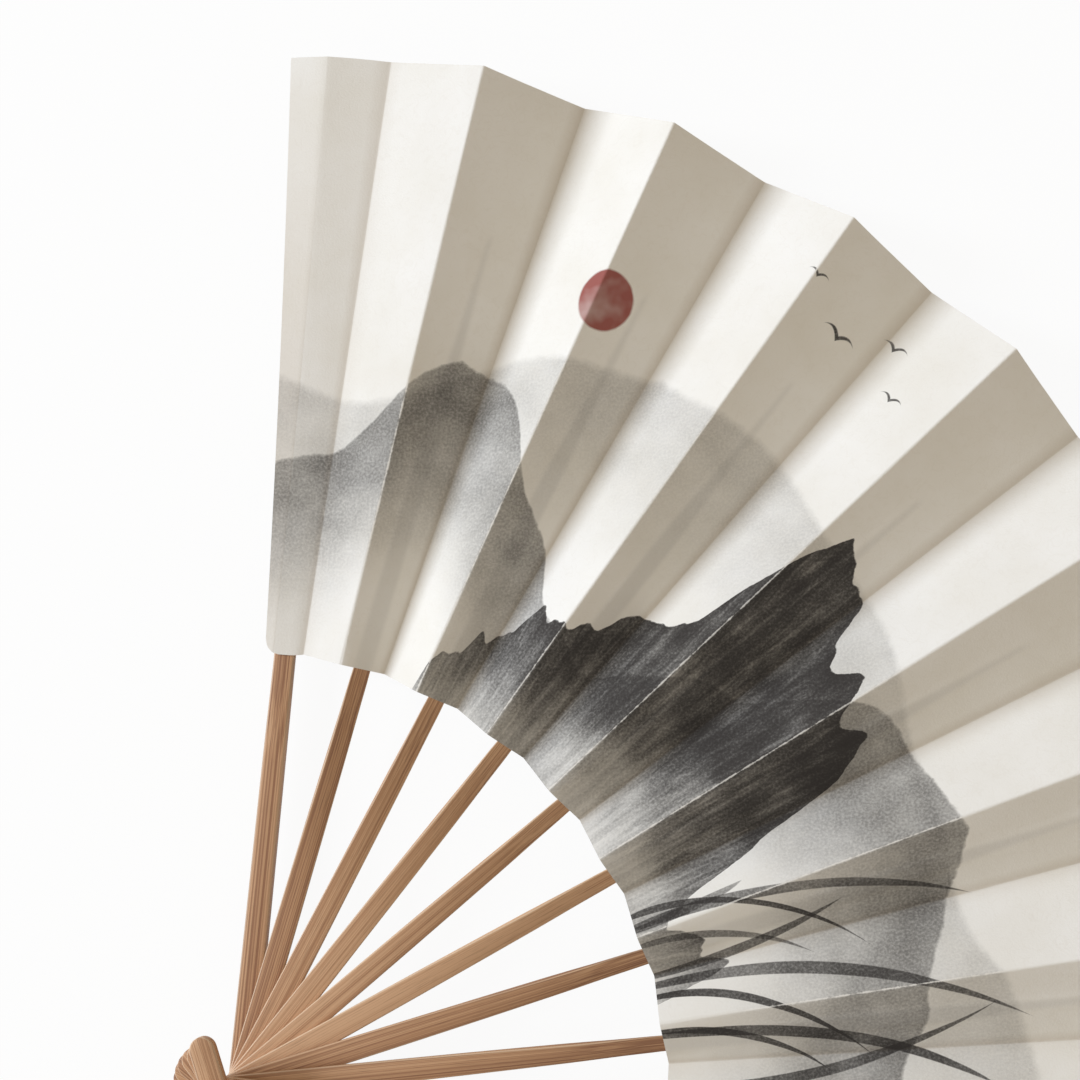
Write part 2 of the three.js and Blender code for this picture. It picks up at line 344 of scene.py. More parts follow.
# One range of hills: a skyline, dark along its crest and fading into mist below
def hillWash(tree, hill, around, out, fray, rock, total):
    shifted = addNode(tree, "Math", {0: around, 1: hill["seed"]}, operation="ADD")
    skyline = addNode(tree, "TexNoise", {
        "W": shifted, "Scale": 1 / hill["span"], "Detail": hill["crags"], "Roughness": 0.45},
        noise_dimensions="1D")
    crest = addNode(tree, "MapRange", {
        "Value": skyline, fromRange: inkWash["skylineRange"], toRange: hill["level"]}, clamp=False)
    for place, reach, rise in hill["peaks"]:
        aside = addNode(tree, "Math", {0: around, 1: place}, operation="SUBTRACT")
        aside = addNode(tree, "Math", {0: aside}, operation="ABSOLUTE")
        slope = addNode(tree, "MapRange", {"Value": aside, "From Max": reach, "To Min": 1, "To Max": 0})
        slope = addNode(tree, "Math", {0: slope, 1: peakCurve}, operation="POWER")
        crest = addNode(tree, "Math", {0: slope, 1: rise, 2: crest}, operation="MULTIPLY_ADD")
    below = addNode(tree, "Math", {0: crest, 1: out}, operation="SUBTRACT")
    below = addNode(tree, "Math", {0: below, 1: fray}, operation="ADD")
    edge = addNode(tree, "MapRange", {
        "Value": below, "From Max": hill["edge"]}, interpolation_type="SMOOTHSTEP")
    wash = addNode(tree, "MapRange", {
        "Value": below, "From Max": hill["mist"], "To Min": hill["depth"], "To Max": 0},
        interpolation_type="SMOOTHSTEP")
    if hill["rocky"]:
        wash = addNode(tree, "Math", {0: wash, 1: rock}, operation="MULTIPLY")
    rim = addNode(tree, "MapRange", {
        "Value": below, "From Max": inkWash["rim"], "To Min": hill["rim"], "To Max": 0})
    wash = addNode(tree, "Math", {0: wash, 1: rim})
    return addNode(tree, "Math", {0: edge, 1: wash, 2: total}, operation="MULTIPLY_ADD")


# Reeds: single brush strokes that rise from the inner edge, swell and taper as they lean over
def reedStrokes(tree, reed, around, out, bed, total):
    rise = addNode(tree, "Math", {0: out, 1: reed["tall"]}, operation="DIVIDE")
    arch = addNode(tree, "Math", {0: rise, 1: reedBrush["curve"]}, operation="POWER")
    root = addNode(tree, "Math", {0: arch, 1: -reed["lean"], 2: around}, operation="MULTIPLY_ADD")
    root = addNode(tree, "Math", {0: root, 1: reed["seed"] * reed["gap"]}, operation="ADD")
    cells = addNode(tree, "TexVoronoi", {
        "W": root, "Scale": 1 / reed["gap"], "Randomness": 0.85}, voronoi_dimensions="1D").node.outputs
    chance = addNode(tree, "SeparateColor", {0: cells["Color"]}).node.outputs
    top = addNode(tree, "MapRange", {"Value": chance[0], "To Min": reed["short"], "To Max": reed["tall"]})
    top = addNode(tree, "Math", {0: top, 1: bed}, operation="MULTIPLY")
    share = addNode(tree, "Math", {0: out, 1: top}, operation="DIVIDE")
    left = addNode(tree, "MapRange", {"Value": share, "To Min": reed["width"] / reed["gap"], "To Max": 0})
    swell = addNode(tree, "Math", {0: share, 1: reedBrush["foot"]}, operation="ADD")
    width = addNode(tree, "Math", {0: left, 1: swell}, operation="MULTIPLY")
    inside = addNode(tree, "Math", {0: width, 1: cells["Distance"]}, operation="SUBTRACT")
    depth = addNode(tree, "MapRange", {"Value": chance[1], toRange: reedBrush["depth"]})
    stroke = addNode(tree, "MapRange", {
        "Value": inside, "From Max": reedBrush["soft"] / reed["gap"], "To Max": depth})
    return addNode(tree, "Math", {0: stroke, 1: total})


# Distance from a spot of the leaf in shares of a size, true to shape at the spot's own radius
def fromSpot(tree, flat, place, size):
    around, out = place
    stretch = (leafInner + out * mm) / leafMiddle
    local = addNode(tree, "VectorMath", {0: flat, 1: (around, out, 0)}, operation="SUBTRACT")
    return addNode(tree, "VectorMath", {0: local, 1: (stretch / size, 1 / size, 0)}, operation="MULTIPLY")


# A far bird: two wings in one stroke, thick at the body
def birdStroke(tree, bird, flat, total):
    spot = fromSpot(tree, flat, bird[:2], bird[2])
    sideways, height, _ = addNode(tree, "SeparateXYZ", {0: spot}).node.outputs
    wing = addNode(tree, "Math", {0: sideways}, operation="ABSOLUTE")
    droop = addNode(tree, "Math", {0: birdBrush["droop"], 1: wing}, operation="SUBTRACT")
    arch = addNode(tree, "Math", {0: wing, 1: droop}, operation="MULTIPLY")
    off = addNode(tree, "Math", {0: arch, 1: -birdBrush["lift"], 2: height}, operation="MULTIPLY_ADD")
    off = addNode(tree, "Math", {0: off}, operation="ABSOLUTE")
    width = addNode(tree, "MapRange", {"Value": wing, "To Min": birdBrush["width"], "To Max": 0})
    inside = addNode(tree, "Math", {0: width, 1: off}, operation="SUBTRACT")
    stroke = addNode(tree, "MapRange", {
        "Value": inside, "From Max": birdBrush["soft"], "To Max": birdBrush["depth"]})
    return addNode(tree, "Math", {0: stroke, 1: total})


def makeWashiPainted():
    material, tree = newMaterial("washiInkWash")
    sheet, colour, relief = paperGround(tree)
    flat = addNode(tree, "Attribute", give="Vector", attribute_name="leafFlat")
    around, out, crease = addNode(tree, "SeparateXYZ", {0: flat}).node.outputs
    fray = addNode(tree, "TexNoise", {
        "Vector": sheet, "Scale": 1 / inkWash["fray"], "Detail": 4, "Roughness": 0.6})
    fray = addNode(tree, "MapRange", {
        "Value": fray, "To Min": -inkWash["frayDepth"], "To Max": inkWash["frayDepth"]})
    wide, tall = inkWash["rock"]
    rock = addNode(tree, "VectorMath", {0: flat, 1: (1 / wide, 1 / tall, 0)}, operation="MULTIPLY")
    rock = addNode(tree, "TexNoise", {
        "Vector": rock, "Scale": 1, "Detail": 4, "Roughness": 0.6, "Distortion": 0.6})
    rock = addNode(tree, "MapRange", {
        "Value": rock, fromRange: inkWash["rockRange"], toRange: inkWash["rockTone"]})
    total = 0.0
    for hill in inkHills:
        total = hillWash(tree, hill, around, out, fray, rock, total)
    misty = addNode(tree, "MapRange", {
        "Value": out, "From Max": footMist["height"], "To Min": footMist["least"]},
        interpolation_type="SMOOTHSTEP")
    total = addNode(tree, "Math", {0: total, 1: misty}, operation="MULTIPLY")

    start = addNode(tree, "MapRange", {
        "Value": around, "From Min": reedBed["from"], "From Max": reedBed["from"] + reedBed["taper"],
        "To Min": reedBed["least"]}, interpolation_type="SMOOTHSTEP")
    stop = addNode(tree, "MapRange", {
        "Value": around, "From Min": reedBed["to"] - reedBed["taper"], "From Max": reedBed["to"],
        "To Min": 1, "To Max": reedBed["least"]}, interpolation_type="SMOOTHSTEP")
    bed = addNode(tree, "Math", {0: start, 1: stop}, operation="MULTIPLY")
    for reed in inkReeds:
        total = reedStrokes(tree, reed, around, out, bed, total)
    for bird in inkBirds:
        total = birdStroke(tree, bird, flat, total)

    # Pigment settles unevenly: fine grain, broad pools
    grain = addNode(tree, "TexNoise", {
        "Vector": sheet, "Scale": 1 / inkWash["grain"], "Detail": 2, "Roughness": 0.6})
    grain = addNode(tree, "MapRange", {
        "Value": grain, fromRange: inkWash["grainRange"], toRange: inkWash["grainTone"]})
    pools = addNode(tree, "TexNoise", {"Vector": sheet, "Scale": 1 / inkWash["pool"], "Detail": 3})
    pools = addNode(tree, "MapRange", {
        "Value": pools, fromRange: inkWash["poolRange"], toRange: inkWash["poolTone"]})
    total = addNode(tree, "Math", {0: total, 1: grain}, operation="MULTIPLY")
    total = addNode(tree, "Math", {0: total, 1: pools}, operation="MULTIPLY")

    # Rubbed mountain creases show bare paper, in broken lengths
    rubbed = addNode(tree, "TexNoise", {
        "Vector": sheet, "Scale": 1 / inkWash["wearLength"], "Detail": 4, "Roughness": 0.65})
    rubbed = addNode(tree, "MapRange", {
        "Value": rubbed, fromRange: inkWash["wearRange"], "To Max": inkWash["wearWidth"]})
    kept = addNode(tree, "Math", {0: crease, 1: rubbed}, operation="SUBTRACT")
    kept = addNode(tree, "MapRange", {
        "Value": kept, "From Min": -inkWash["wearSoft"], "From Max": inkWash["wearSoft"],
        "To Min": inkWash["wearLeast"]})
    total = addNode(tree, "Math", {0: total, 1: kept}, operation="MULTIPLY")
    clear = addNode(tree, "Math", {0: total, 1: -1}, operation="MULTIPLY")
    clear = addNode(tree, "Math", {0: clear}, operation="EXPONENT")

    # A small sun in red wash, under the ink
    fromSun = fromSpot(tree, flat, redSun["place"], 1)
    fromSun = addNode(tree, "VectorMath", {0: fromSun}, give="Value", operation="LENGTH")
    fromSun = addNode(tree, "Math", {0: fray, 1: redSun["fray"], 2: fromSun}, operation="MULTIPLY_ADD")
    disc = addNode(tree, "MapRange", {
        "Value": fromSun, "From Min": redSun["radius"] - redSun["soft"], "From Max": redSun["radius"],
        "To Min": 1, "To Max": 0})
    disc = addNode(tree, "Math", {0: disc, 1: pools}, operation="MULTIPLY", use_clamp=True)
    sunny = addNode(tree, "Mix", {"Factor": disc, 6: colour, 7: redSun["colour"]}, **mixColours)
    inked = addNode(tree, "Mix", {"Factor": clear, 6: inkWash["ink"], 7: sunny}, **mixColours)
    paperShader(tree, inked, relief)
    return material


# Bamboo: split, planed flat, stained light brown and waxed. Satin, with straight fibres that run the
# whole length, short dark vessel lines, and paler edges where the stain is rubbed, with a painted
# highlight there for the lit edge.
bamboo = {
    "light": "#d1a882",
    "middle": "#b88c67",
    "dark": "#916648",
    "vessel": "#63452f",
    "wornAndHighlit": "#dcc3a4",
    "ior": 1.5,
    "roughness": (0.46, 0.62),
    "fibre": (150, 0.26),   # mm long and wide, drawn coarser than real
    "streak": (240, 1.5),   # mm
    "vesselSize": (6, 0.17),  # mm
    "fibreShare": 0.6,      # the rest of the tone comes from the streaks
    "fibreRange": (0.35, 0.65),
    "fibreTone": (0.26, 0.74),
    "stainTones": (0.34, 0.5, 0.66),  # where the stain is dark, middle and light
    "vesselRange": (0.58, 0.72),
    "vesselShare": 0.42,
    "fibreDepth": 0.02,     # mm
}


def makeBamboo():
    material, tree = newMaterial("stainedBamboo")
    place = addNode(tree, "Attribute", give="Vector", attribute_name="barFlat")
    tone = addNode(tree, "Attribute", give="Fac", attribute_name="barTone")
    edgeWearAndHighlight = addNode(tree, "Attribute", give="Fac", attribute_name="barWearAndHighlight")
    grains = []
    for size in ("fibre", "streak", "vesselSize"):
        long, wide = bamboo[size]
        squeezed = addNode(tree, "VectorMath", {
            0: place, 1: (1 / long, 1 / wide, 1 / wide)}, operation="MULTIPLY")
        grains.append(addNode(tree, "TexNoise", {
            "Vector": squeezed, "Scale": 1, "Detail": 2, "Roughness": 0.55}))
    fibre, streak, vessel = grains
    lines = addNode(tree, "MapRange", {
        "Value": fibre, fromRange: bamboo["fibreRange"], toRange: bamboo["fibreTone"]})
    shade = addNode(tree, "Mix", {"Factor": bamboo["fibreShare"], 2: streak, 3: lines})
    shade = addNode(tree, "Math", {0: shade, 1: tone})
    stain = addNode(tree, "ValToRGB", {0: shade})
    stops = stain.node.color_ramp.elements
    stops.new(0.5)  # a ramp starts with two stops
    for stop, level, colour in zip(stops, bamboo["stainTones"], ("dark", "middle", "light")):
        stop.position = level
        stop.color = linearColour(bamboo[colour])
    pores = addNode(tree, "MapRange", {
        "Value": vessel, fromRange: bamboo["vesselRange"], "To Max": bamboo["vesselShare"]})
    wood = addNode(tree, "Mix", {"Factor": pores, 6: stain, 7: bamboo["vessel"]}, **mixColours)
    # Eased corners paler: rubbed stain, and a painted highlight for the lit edge
    rubbed = addNode(tree, "Math", {0: edgeWearAndHighlight, 1: streak}, operation="MULTIPLY")
    wood = addNode(tree, "Mix", {"Factor": rubbed, 6: wood, 7: bamboo["wornAndHighlit"]}, **mixColours)
    gloss = addNode(tree, "MapRange", {"Value": fibre, toRange: bamboo["roughness"]})
    relief = addNode(tree, "Bump", {"Height": fibre, "Strength": 1, "Distance": bamboo["fibreDepth"] * mm})
    shader = addNode(tree, "BsdfPrincipled", {
        "Base Color": wood, "Roughness": gloss, "Normal": relief, "IOR": bamboo["ior"]})
    addNode(tree, "OutputMaterial", {"Surface": shader})
    return material


# Brass: turned and headed over cold, then handled. Warm metal, softly dulled in patches.
brass = {
    "bright": "#d9b678",
    "dull": "#a98450",
    "roughness": (0.24, 0.44),
    "tarnish": 1.6,         # mm
    "scratch": 0.12,        # mm
    "scratchDepth": 0.005,  # mm
}


def makeBrass():
    material, tree = newMaterial("turnedBrass")
    place = addNode(tree, "TexCoord", give="Object")
    patches = addNode(tree, "TexNoise", {
        "Vector": place, "Scale": 1 / (brass["tarnish"] * mm), "Detail": 4})
    fine = addNode(tree, "TexNoise", {"Vector": place, "Scale": 1 / (brass["scratch"] * mm), "Detail": 2})
    metal = addNode(tree, "Mix", {"Factor": patches, 6: brass["bright"], 7: brass["dull"]}, **mixColours)
    gloss = addNode(tree, "MapRange", {"Value": patches, toRange: brass["roughness"]})
    relief = addNode(tree, "Bump", {"Height": fine, "Strength": 1, "Distance": brass["scratchDepth"] * mm})
    shader = addNode(tree, "BsdfPrincipled", {
        "Base Color": metal, "Metallic": 1, "Roughness": gloss, "Normal": relief})
    addNode(tree, "OutputMaterial", {"Surface": shader})
    return material


paintedMaterial = makeWashiPainted()
backMaterial = makeWashiBack()
bambooMaterial = makeBamboo()
brassMaterial = makeBrass()
print("Materials made")


def addPiece(name, points, faces, materials, faceSlots=None, sharpAngle=40):
    mesh = bpy.data.meshes.new(name)
    mesh.from_pydata([tuple(point) for point in points], [], faces)
    for material in materials:
        mesh.materials.append(material)
    if faceSlots is not None:
        mesh.polygons.foreach_set("material_index", faceSlots)
    mesh.shade_smooth()
    mesh.set_sharp_from_angle(angle=math.radians(sharpAngle))
    piece = bpy.data.objects.new(name, mesh)
    scene.collection.objects.link(piece)
    return piece


def addPointData(piece, name, kind, values):
    data = piece.data.attributes.new(name, kind, "POINT")
    field = "vector" if kind == "FLOAT_VECTOR" else "value"
    data.data.foreach_set(field, np.asarray(values, dtype=np.float32).ravel())


# Sticks
stick = {
    "cornerPoints": 4,          # points round each eased corner of a section
    "cornerMost": 0.45,         # most of a section's width or height that easing takes
    "endSteps": 9,              # sections of a rounded end
    "endStart": 0.22,           # radians into the round where its flat cap is
    "leafShadeDepth": 0.045,        # painted shade: tone lost towards the leaf
    "pasteFrom": 56 * mm,       # it deepens from here to the leaf
}


# A bar lofted through its stations, each a rectangle with eased corners: places along and aside, half
# width, underside, height at either edge, and twist
def barPiece(name, stations, origin, axes, tone, shift, easing):
    along, across, face = axes
    ringSize = 4 * stick["cornerPoints"]
    points, flat, tones, edgeWearAndHighlight, faces = [], [], [], [], []
    for x, aside, half, low, highLeft, highRight, twist in stations:
        # Painted shade, deepening towards the leaf
        nearLeaf = smoothStep((x - stick["pasteFrom"]) / (leafInner - stick["pasteFrom"]))
        tones += [tone - stick["leafShadeDepth"] * nearLeaf] * ringSize
        leastSide = min(2 * half, min(highLeft, highRight) - low)
        r = min(easing, stick["cornerMost"] * leastSide)
        inner = half - r
        centres = [(inner, highLeft - r), (-inner, highRight - r), (-inner, low + r), (inner, low + r)]
        c, s = math.cos(twist), math.sin(twist)
        for quarter, (middleY, middleZ) in enumerate(centres):
            for k in range(stick["cornerPoints"]):
                turn = math.pi / 2 * (quarter + k / (stick["cornerPoints"] - 1))
                y, z = aside + middleY + r * math.cos(turn), middleZ + r * math.sin(turn)
                points.append(origin + x * along + (c * y - s * z) * across + (s * y + c * z) * face)
                flat.append((x / mm + shift, y / mm + shift, z / mm))
                # Eased corners carry the rubbed stain and the painted highlight
                edgeWearAndHighlight.append(float(0 < k < stick["cornerPoints"] - 1))
    for j in range(len(stations) - 1):
        for k in range(ringSize):
            a, b = j * ringSize + k, j * ringSize + (k + 1) % ringSize
            faces.append((a, b, b + ringSize, a + ringSize))
    faces.append(tuple(range(ringSize))[::-1])
    faces.append(tuple(range(len(points) - ringSize, len(points))))
    piece = addPiece(name, points, faces, [bambooMaterial])
    addPointData(piece, "barFlat", "FLOAT_VECTOR", flat)
    addPointData(piece, "barTone", "FLOAT", tones)
    addPointData(piece, "barWearAndHighlight", "FLOAT", edgeWearAndHighlight)
    return piece


# Places along a bar and half widths there, with both ends rounded
def barSpans(tail, tip, halfWidth, places):
    tailHalf, tipHalf = halfWidth(0), halfWidth(tip)
    turns = np.linspace(stick["endStart"], math.pi / 2, stick["endSteps"])
    spans = [(tailHalf * (1 - math.cos(t)) - tail, tailHalf * math.sin(t)) for t in turns]
    spans += [(x, halfWidth(x)) for x in places]
    spans += [(tip - tipHalf * (1 - math.cos(t)), tipHalf * math.sin(t)) for t in turns[::-1]]
    return spans


rib = {
    "halfThick": 0.55 * mm,
    "slipThick": 0.17 * mm,     # half thickness where it goes into the leaf and on between the plies
    "thinFrom": 66 * mm,
    "slipFrom": 92 * mm,
    "twistFrom": 22 * mm,       # flat up to here, where the ribs lie on each other
    "twistTo": 84 * mm,
    "easing": 0.3 * mm,
    "stations": 46,
    # lighter or darker than the middle stain, rib by rib
    "tones": [-0.06, 0.06, 0.12, 0.08, 0.17, -0.02, -0.02, 0.02, -0.03, 0.04, -0.02, 0.03, 0.0],
    "grainShift": 311,          # mm between the patches of grain that neighbours take
}


# How far along the slip a place is, from the leaf's inner edge to the slip's tip
def slipShare(x):
    return np.clip((x - leafInner) / (slipSize["tip"] - leafInner), 0, 1)


def ribHalf(x):
    slip = mixed(slipSize["wide"], slipSize["narrow"], slipShare(x))
    stave = mixed(ribSize["wide"], ribSize["narrow"], np.clip(x / leafInner, 0, 1))
    return mixed(stave, slip, smoothStep((x - leafInner) / (rib["slipFrom"] - leafInner)))


def ribThickness(x):
    thinned = smoothStep((x - rib["thinFrom"]) / (leafInner - rib["thinFrom"]))
    return float(mixed(rib["halfThick"], rib["slipThick"], thinned))


pleatTilt = angleBetween(panelAxes(1)[2], upward)
twistLength = rib["twistTo"] - rib["twistFrom"]
ribPlaces = np.linspace(0, slipSize["tip"] - slipSize["narrow"], rib["stations"])[:-1]
ribSpans = barSpans(ribSize["tail"], slipSize["tip"], ribHalf, ribPlaces)
for i in range(1, lastRib):
    along = ribDirection(i)
    origin = upward * ribLevel(i)
    stations = []
    for x, half in ribSpans:
        thick = ribThickness(x)
        twist = pleatTilt * float(smoothStep((x - rib["twistFrom"]) / twistLength))
        stations.append((x, 0, half, -thick, thick, thick, twist))
    piece = barPiece(numbered("ribStick", i), stations, origin, (along, np.cross(upward, along), upward),
                     rib["tones"][i - 1], rib["grainShift"] * i, rib["easing"])
    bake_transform(piece)
    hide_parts(numbered("rib", i), numbered("slip", i))
print("Ribs shaved and twisted")

# Leaf
leaf = {
    "rows": 56,
    "ribColumns": [5, 3, 4, 2, 2, 4, 3, 6],  # between knots across a rib's panel
    "endColumns": [6, 3, 4, 3, 6],  # a guard's panel
    "foldColumns": [6, 8, 5],
    "sharpAngle": 50,           # degrees, above which an edge stays crisp
    "valleySoft": 0.4 * mm,     # paper either side of a valley crease that rolls with it
    "mountainSoft": 0.5 * mm,
    "mountainRise": 0.42 * mm,  # room for the folded paper under a mountain when the fan is closed
    "mountainCurve": 1.4,       # a panel bends more towards its mountain
    "ridgeLift": 0.1 * mm,      # how much a slip lifts each ply
    "ridgeEntry": 0.05 * mm,    # less where the rib goes in, pressed thin
    "entryLength": 30 * mm,
    "ridgeSoft": 1.5 * mm,
    "tipFade": 7 * mm,          # past a slip's tip, where its ridge dies away
    "wave": 0.06 * mm,          # paper is never quite flat
    "waveLength": 47 * mm,
    "waveShift": 1.9,           # radians from one panel to the next
    "waveSlant": 2,             # radians across half a panel
    "ripple": 0.5,              # a finer wave on the first, as a share of its height
    "rippleCount": 2.3,         # ripples in a wave
    "rippleShift": 0.7,         # radians
    "corner": 3.2 * mm,         # rounding of the free inner corners
    "guardRidge": 0.85 * mm,    # paper lifted along the guard's outer edge, at the leaf's outer edge
    "guardSlope": 0.7,          # share of that at the guard's other edge
    "guardBend": 0.14 * mm,     # paper either side of the guard's outer edge that bends over it
    "guardBow": 1.85 * mm,      # the rear guard has warped this far sideways at the leaf's outer edge
    "freeDroop": 0.5 * mm,
}
# How strongly the paper is toned, as shares of its painted shade colour, or of its painted shadow colour
# for a slip
leafTone = {
    "slip": [(0, 0.2), (0.3, 0.27), (0.65, 0.27), (1, 0.14)],  # showing through, at shares of its length
    "slipBand": [(0.55, 1.9 * mm), (0.75, 1.05 * mm), (0.9, 0.6 * mm), (1, 0.5 * mm)],  # half widths
    "slipSpread": 0.7 * mm,     # the band's edge fades over this much on either side
    "slipEnd": 1.5 * mm,        # the band fades out over this much before the slip's tip
    "strip": [(0, 0.2), (0.45, 0.34), (1, 0.02)],  # painted shade beyond the guard, at shares of the way out
    "guard": 0.02,              # painted shade from the guard's outer edge to the valley
    "crease": (0.32, 0.12),     # painted shade in a valley, on the rib's panel and on the fold panel
    "creaseReach": (1.6 * mm, 4 * mm),
}
radii = np.linspace(leafInner, leafOuter, leaf["rows"])[:, None]
outward = (radii - leafInner) / (leafOuter - leafInner)
valleyCut = leafInner * (1 / math.cos(2 * halfPanel) - 1)


# Places across a panel, evenly spread between knots that follow its features row by row
def spread(knots, counts):
    columns = []
    for here, there, count in zip(knots, knots[1:], counts):
        columns += [mixed(here, there, k / count) for k in range(count)]
    columns.append(knots[-1])
    return np.concatenate([np.broadcast_to(column, radii.shape) for column in columns], axis=1)


# The leaf is trimmed while folded: square to the mountain creases at its inner edge, and straight
# across each panel at its outer edge. Gives the radius of each point of a panel.
def trimmed(fromMountain, offMiddle, halfAngle):
    inner = valleyCut * fromMountain ** 2
    outer = leafOuter * (np.cos(halfAngle) / np.cos(offMiddle * halfAngle) - 1)
    return radii + mixed(inner, outer, outward)


def paperWave(phase, sideways):
    turn = radii / leaf["waveLength"] * 2 * math.pi
    wave = np.sin(turn + leaf["waveShift"] * phase + leaf["waveSlant"] * sideways)
    ripple = np.sin(leaf["rippleCount"] * turn + leaf["rippleShift"] * phase)
    return leaf["wave"] * (wave + leaf["ripple"] * ripple)


def guardHalf(x):
    return mixed(guardSize["wide"], guardSize["narrow"], np.maximum(x, 0) / guardSize["tip"])


def guardLift(x):
    return leaf["guardRidge"] * x / leafOuter


def guardBow(i, x):
    share = np.clip((x - leafInner) / (leafOuter - leafInner), 0, 1)
    return (leaf["guardBow"] if i == 0 else 0) * share ** 2


# Grid of a panel's middle surface, from its angles and radii
def panelGrid(i, angle, reach):
    along, across, _ = panelAxes(i)
    spoke = np.cos(angle)[..., None] * along + np.sin(angle)[..., None] * across
    return upward * ribLevel(i) + reach[..., None] * spoke


# How far each row of panel i comes down at its mountain, to meet the fold panel before it
def mountainDrop(i):
    return np.array([[mountainHeight(i, r) - leaf["mountainRise"]] for r in radii[:, 0]])


# Panel that a slip runs up, from its mountain to its valley
def ribPanel(i):
    face = panelAxes(i)[2]
    edge = radii * math.sin(halfPanel)
    slip = ribHalf(radii)
    foot = slip + leaf["ridgeSoft"]
    knots = [edge, edge - leaf["mountainSoft"], foot, slip, 0 * slip,
             -slip, -foot, leaf["valleySoft"] - edge, -edge]
    sideways = spread(knots, leaf["ribColumns"])
    angle = np.arcsin(sideways / radii)
    reach = trimmed((1 - angle / halfPanel) / 2, angle / halfPanel, halfPanel)

    entered = smoothStep((radii - leafInner) / leaf["entryLength"])
    lift = mixed(leaf["ridgeEntry"], leaf["ridgeLift"], entered)
    tip = 1 - smoothStep((radii - slipSize["tip"]) / leaf["tipFade"])
    beside = smoothStep((foot - np.abs(sideways)) / leaf["ridgeSoft"])
    ridge = lift * tip * beside
    lobe = np.abs(sideways / edge)
    wave = paperWave(i, sideways / edge) * 4 * lobe * (1 - lobe) * (1 - beside)

    toMountain = np.clip((sideways - foot) / (edge - foot), 0, 1) ** leaf["mountainCurve"]
    grid = panelGrid(i, angle, reach) - (mountainDrop(i) * toMountain)[..., None] * upward
    beforeTip = (slipSize["tip"] - radii) / leafTone["slipEnd"]
    slipTone = np.interp(slipShare(radii), *zip(*leafTone["slip"]))
    bandHalf = np.interp(slipShare(radii), *zip(*leafTone["slipBand"]))
    band = (bandHalf + leafTone["slipSpread"] - np.abs(sideways)) / (2 * leafTone["slipSpread"])
    return {
        "front": grid + (wave + paperHalf + ridge)[..., None] * face,
        "back": grid + (wave - paperHalf - ridge)[..., None] * face,
        "angle": angle,
        "reach": reach,
        "paintedShade": np.zeros_like(angle),
        "shadow": slipTone * smoothStep(band) * smoothStep(beforeTip),
    }


# Height of the end panel over the rear guard: up from the valley, level over the guard's edge, then down
def crestProfile(sideways, edge, left, right, free, crest):
    bend = leaf["guardBend"]
    places = np.concatenate([-edge, right, left - bend, left + bend, free], axis=1)
    heights = np.concatenate([
        0 * crest, leaf["guardSlope"] * crest, crest, crest, -leaf["freeDroop"] * outward], axis=1)
    return np.array([np.interp(*row) for row in zip(sideways, places, heights)])


# Panel glued to a guard, free along one edge and rounded at its inner corner
def endPanel(i):
    face = panelAxes(i)[2]
    side = 1 if i == 0 else -1
    bow = guardBow(i, radii)
    free = radii * math.sin(endAngle) + bow
    edge = radii * math.sin(endCrease)
    left, right = bow + guardHalf(radii), bow - guardHalf(radii)  # the guard's edges
    bend = leaf["guardBend"]
    knots = [free, left + bend, left - bend, right, leaf["valleySoft"] - edge, -edge]
    sideways = spread(knots, leaf["endColumns"])
    angle = np.arcsin(sideways / radii)
    short = np.clip(leaf["corner"] - (free - sideways), 0, None)
    cut = leaf["corner"] - np.sqrt(leaf["corner"] ** 2 - short ** 2)
    paintedShade = np.zeros_like(sideways)
    if i == 0:
        toValley = np.clip(-sideways / edge, 0, 1)
        cut = cut + valleyCut * toValley ** 2
        crest = guardLift(radii)
        lift = crestProfile(sideways, edge, left, right, free, crest)
        # Painted shade on the rear guard's panel: strongest on the strip beyond the guard, below halfway
        # out
        strip = np.interp(outward, *zip(*leafTone["strip"]))
        paintedShade = mixed(strip, leafTone["guard"], smoothStep((left + bend - sideways) / (2 * bend)))
    else:
        toMountain = np.clip((right - sideways) / (right + edge), 0, 1) ** leaf["mountainCurve"]
        lift = -mountainDrop(i) * toMountain
    reach = radii + cut * (1 - outward)
    grid = panelGrid(i, side * angle, reach)
    panel = {
        "front": grid + (lift + paperHalf)[..., None] * face,
        "back": grid + (lift - paperHalf)[..., None] * face,
        "angle": side * angle,
        "reach": reach,
        "paintedShade": paintedShade,
        "shadow": 0 * paintedShade,
    }
    return panel if side > 0 else {key: value[:, ::-1] for key, value in panel.items()}


# Fold panel after panel i, from its valley to the next mountain
def foldPanel(i):
    pivot = valleyLine(i)[0]
    along, away, face = foldAxes(i)
    tops = np.array([mountainPoint(i + 1, r) for r in radii[:, 0]]) - mountainDrop(i + 1) * upward - pivot
    topReach = np.linalg.norm(tops, axis=1)[:, None]
    width = np.arctan2(tops @ away, tops @ along)[:, None]
    valleyEnd = np.arcsin(leaf["valleySoft"] / radii)
    mountainStart = width - leaf["mountainSoft"] / radii
    share = spread([0 * width, valleyEnd, mountainStart, width], leaf["foldColumns"]) / width
    reach = trimmed(1 - share, 2 * share - 1, width / 2) + (topReach - radii) * share
    wave = paperWave(i + 0.5, share) * 4 * share * (1 - share)
    angle = share * width
    spoke = np.cos(angle)[..., None] * along + np.sin(angle)[..., None] * away
    lift = (tops @ face)[:, None] * share
    front = pivot + reach[..., None] * spoke + (wave + lift)[..., None] * face
    return {
        "front": front,
        "back": front - 2 * paperHalf * face,
        "share": share,
        "reach": reach,
        "fromValley": radii * angle,
        "toMountain": radii * (width - angle),
    }, width[len(radii) // 2, 0]


# Puts a panel's back edge on the mitre that it shares with the next panel across a mountain
def mitre(panel, column, faceA, faceB):
    halfway = unit(faceA + faceB)
    panel["back"][:, column] = panel["front"][:, column] - halfway * (2 * paperHalf / (halfway @ faceA))


